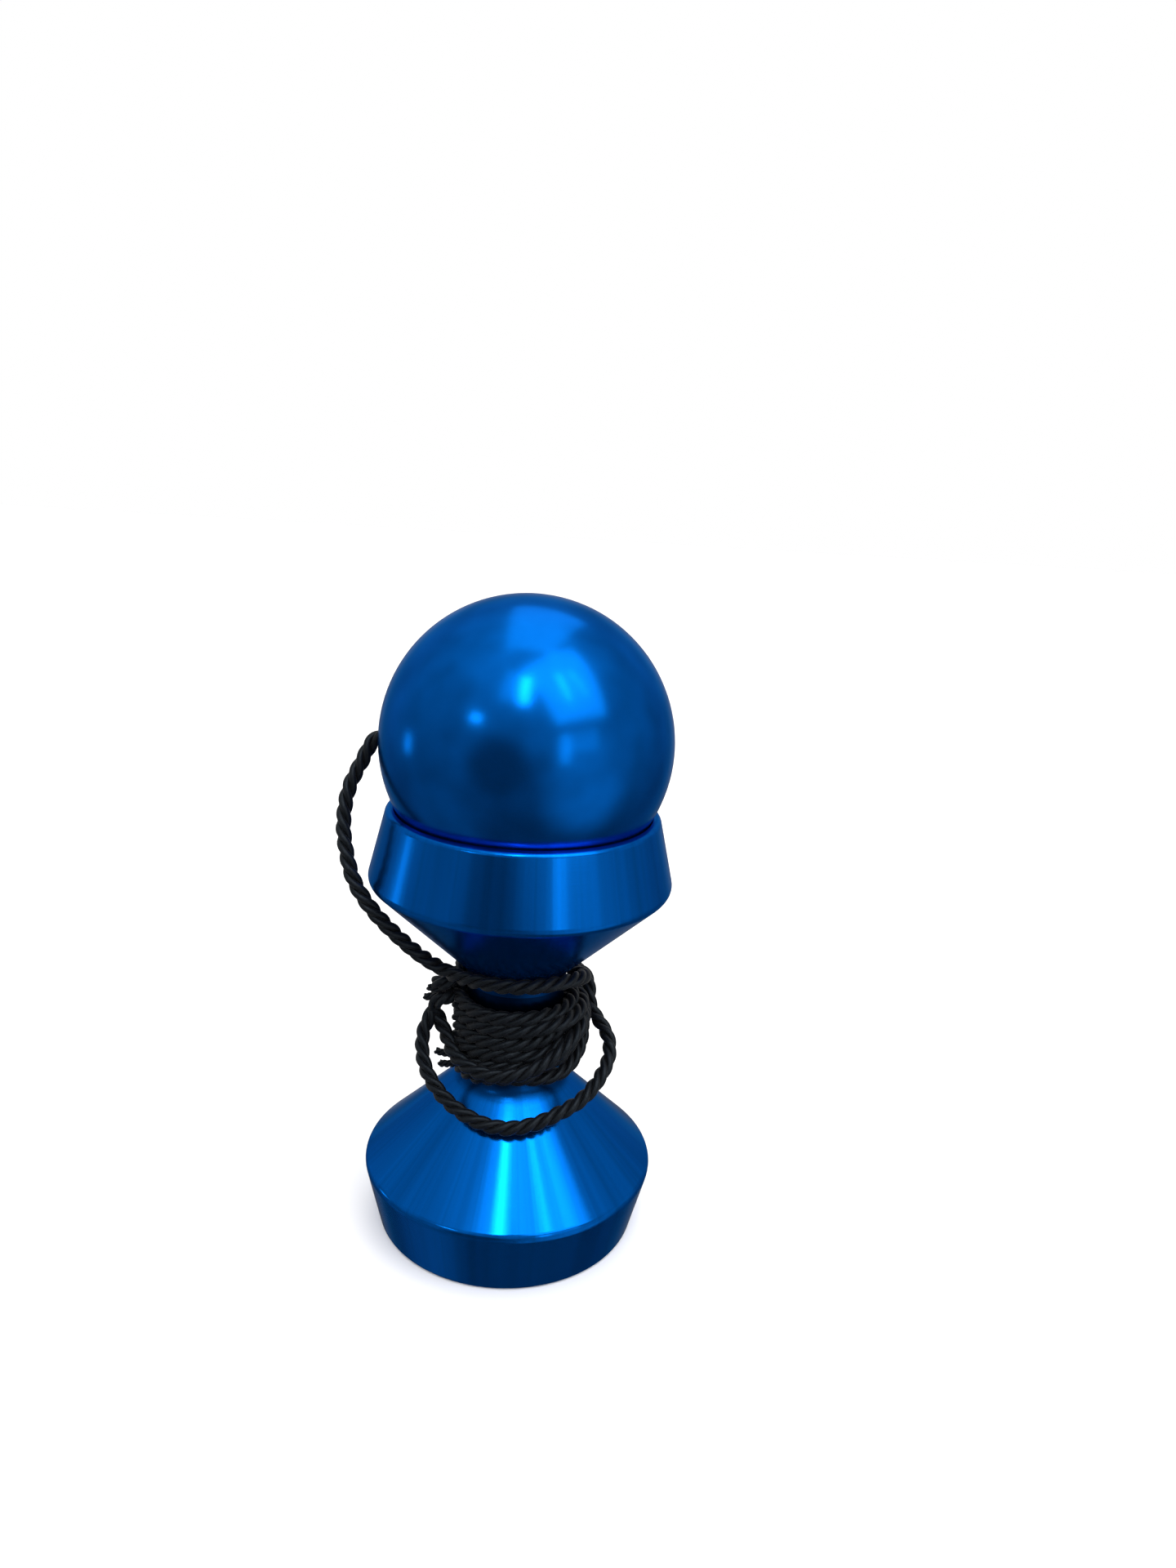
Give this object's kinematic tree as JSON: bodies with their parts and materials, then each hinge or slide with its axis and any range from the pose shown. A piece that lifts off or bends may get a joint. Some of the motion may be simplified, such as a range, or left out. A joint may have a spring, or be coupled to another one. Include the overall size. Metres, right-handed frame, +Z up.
{
  "type": "pocket cup-and-ball toy",
  "caption": "Pocket ball-and-spool skill toy: a metal ball rests in the upper cup of a waisted spool, tied by a twisted cord wound on the waist.",
  "frame": {"origin": "centre of the lower rim's plane, on the spool's axis", "axes": "+Z up along the spool's axis to the ball; -X points to the ball's string hole; -Y is the side with the front of the finger loop"},
  "size_m": [0.0349, 0.0318, 0.0694],
  "materials": {
    "spool_anodised": "turned, blue anodised",
    "ball_anodised": "satin, blue anodised",
    "steel": "bright",
    "cord": "twisted black cord, matt"
  },
  "bodies": {
    "spool": {"upper_cup": "spool_anodised", "lower_cup": "spool_anodised", "waist_barrel": "spool_anodised", "axle_stud": "steel", "anchor_hitch": "cord", "string_winding": "cord", "top_turn": "cord", "string_lead": "cord", "finger_loop": "cord", "loop_knot": "cord", "string_tails": "cord"},
    "string_end": {"ball_string": "cord", "stopper_knot": "cord"},
    "ball": {"ball_body": "ball_anodised", "ball_plug": "ball_anodised", "knot_washer": "steel"}
  },
  "joints": [
    {"name": "ball_lift", "type": "slide", "parent": "spool", "child": "string_end", "axis": [0, 0, 1], "range_m": [0, 0.012], "deforming": ["string_lead"]},
    {"name": "ball_spin", "type": "hinge", "parent": "string_end", "child": "ball", "pos_m": [0, 0, 0.05445], "axis": [1, 0, 0], "continuous": true}
  ]
}
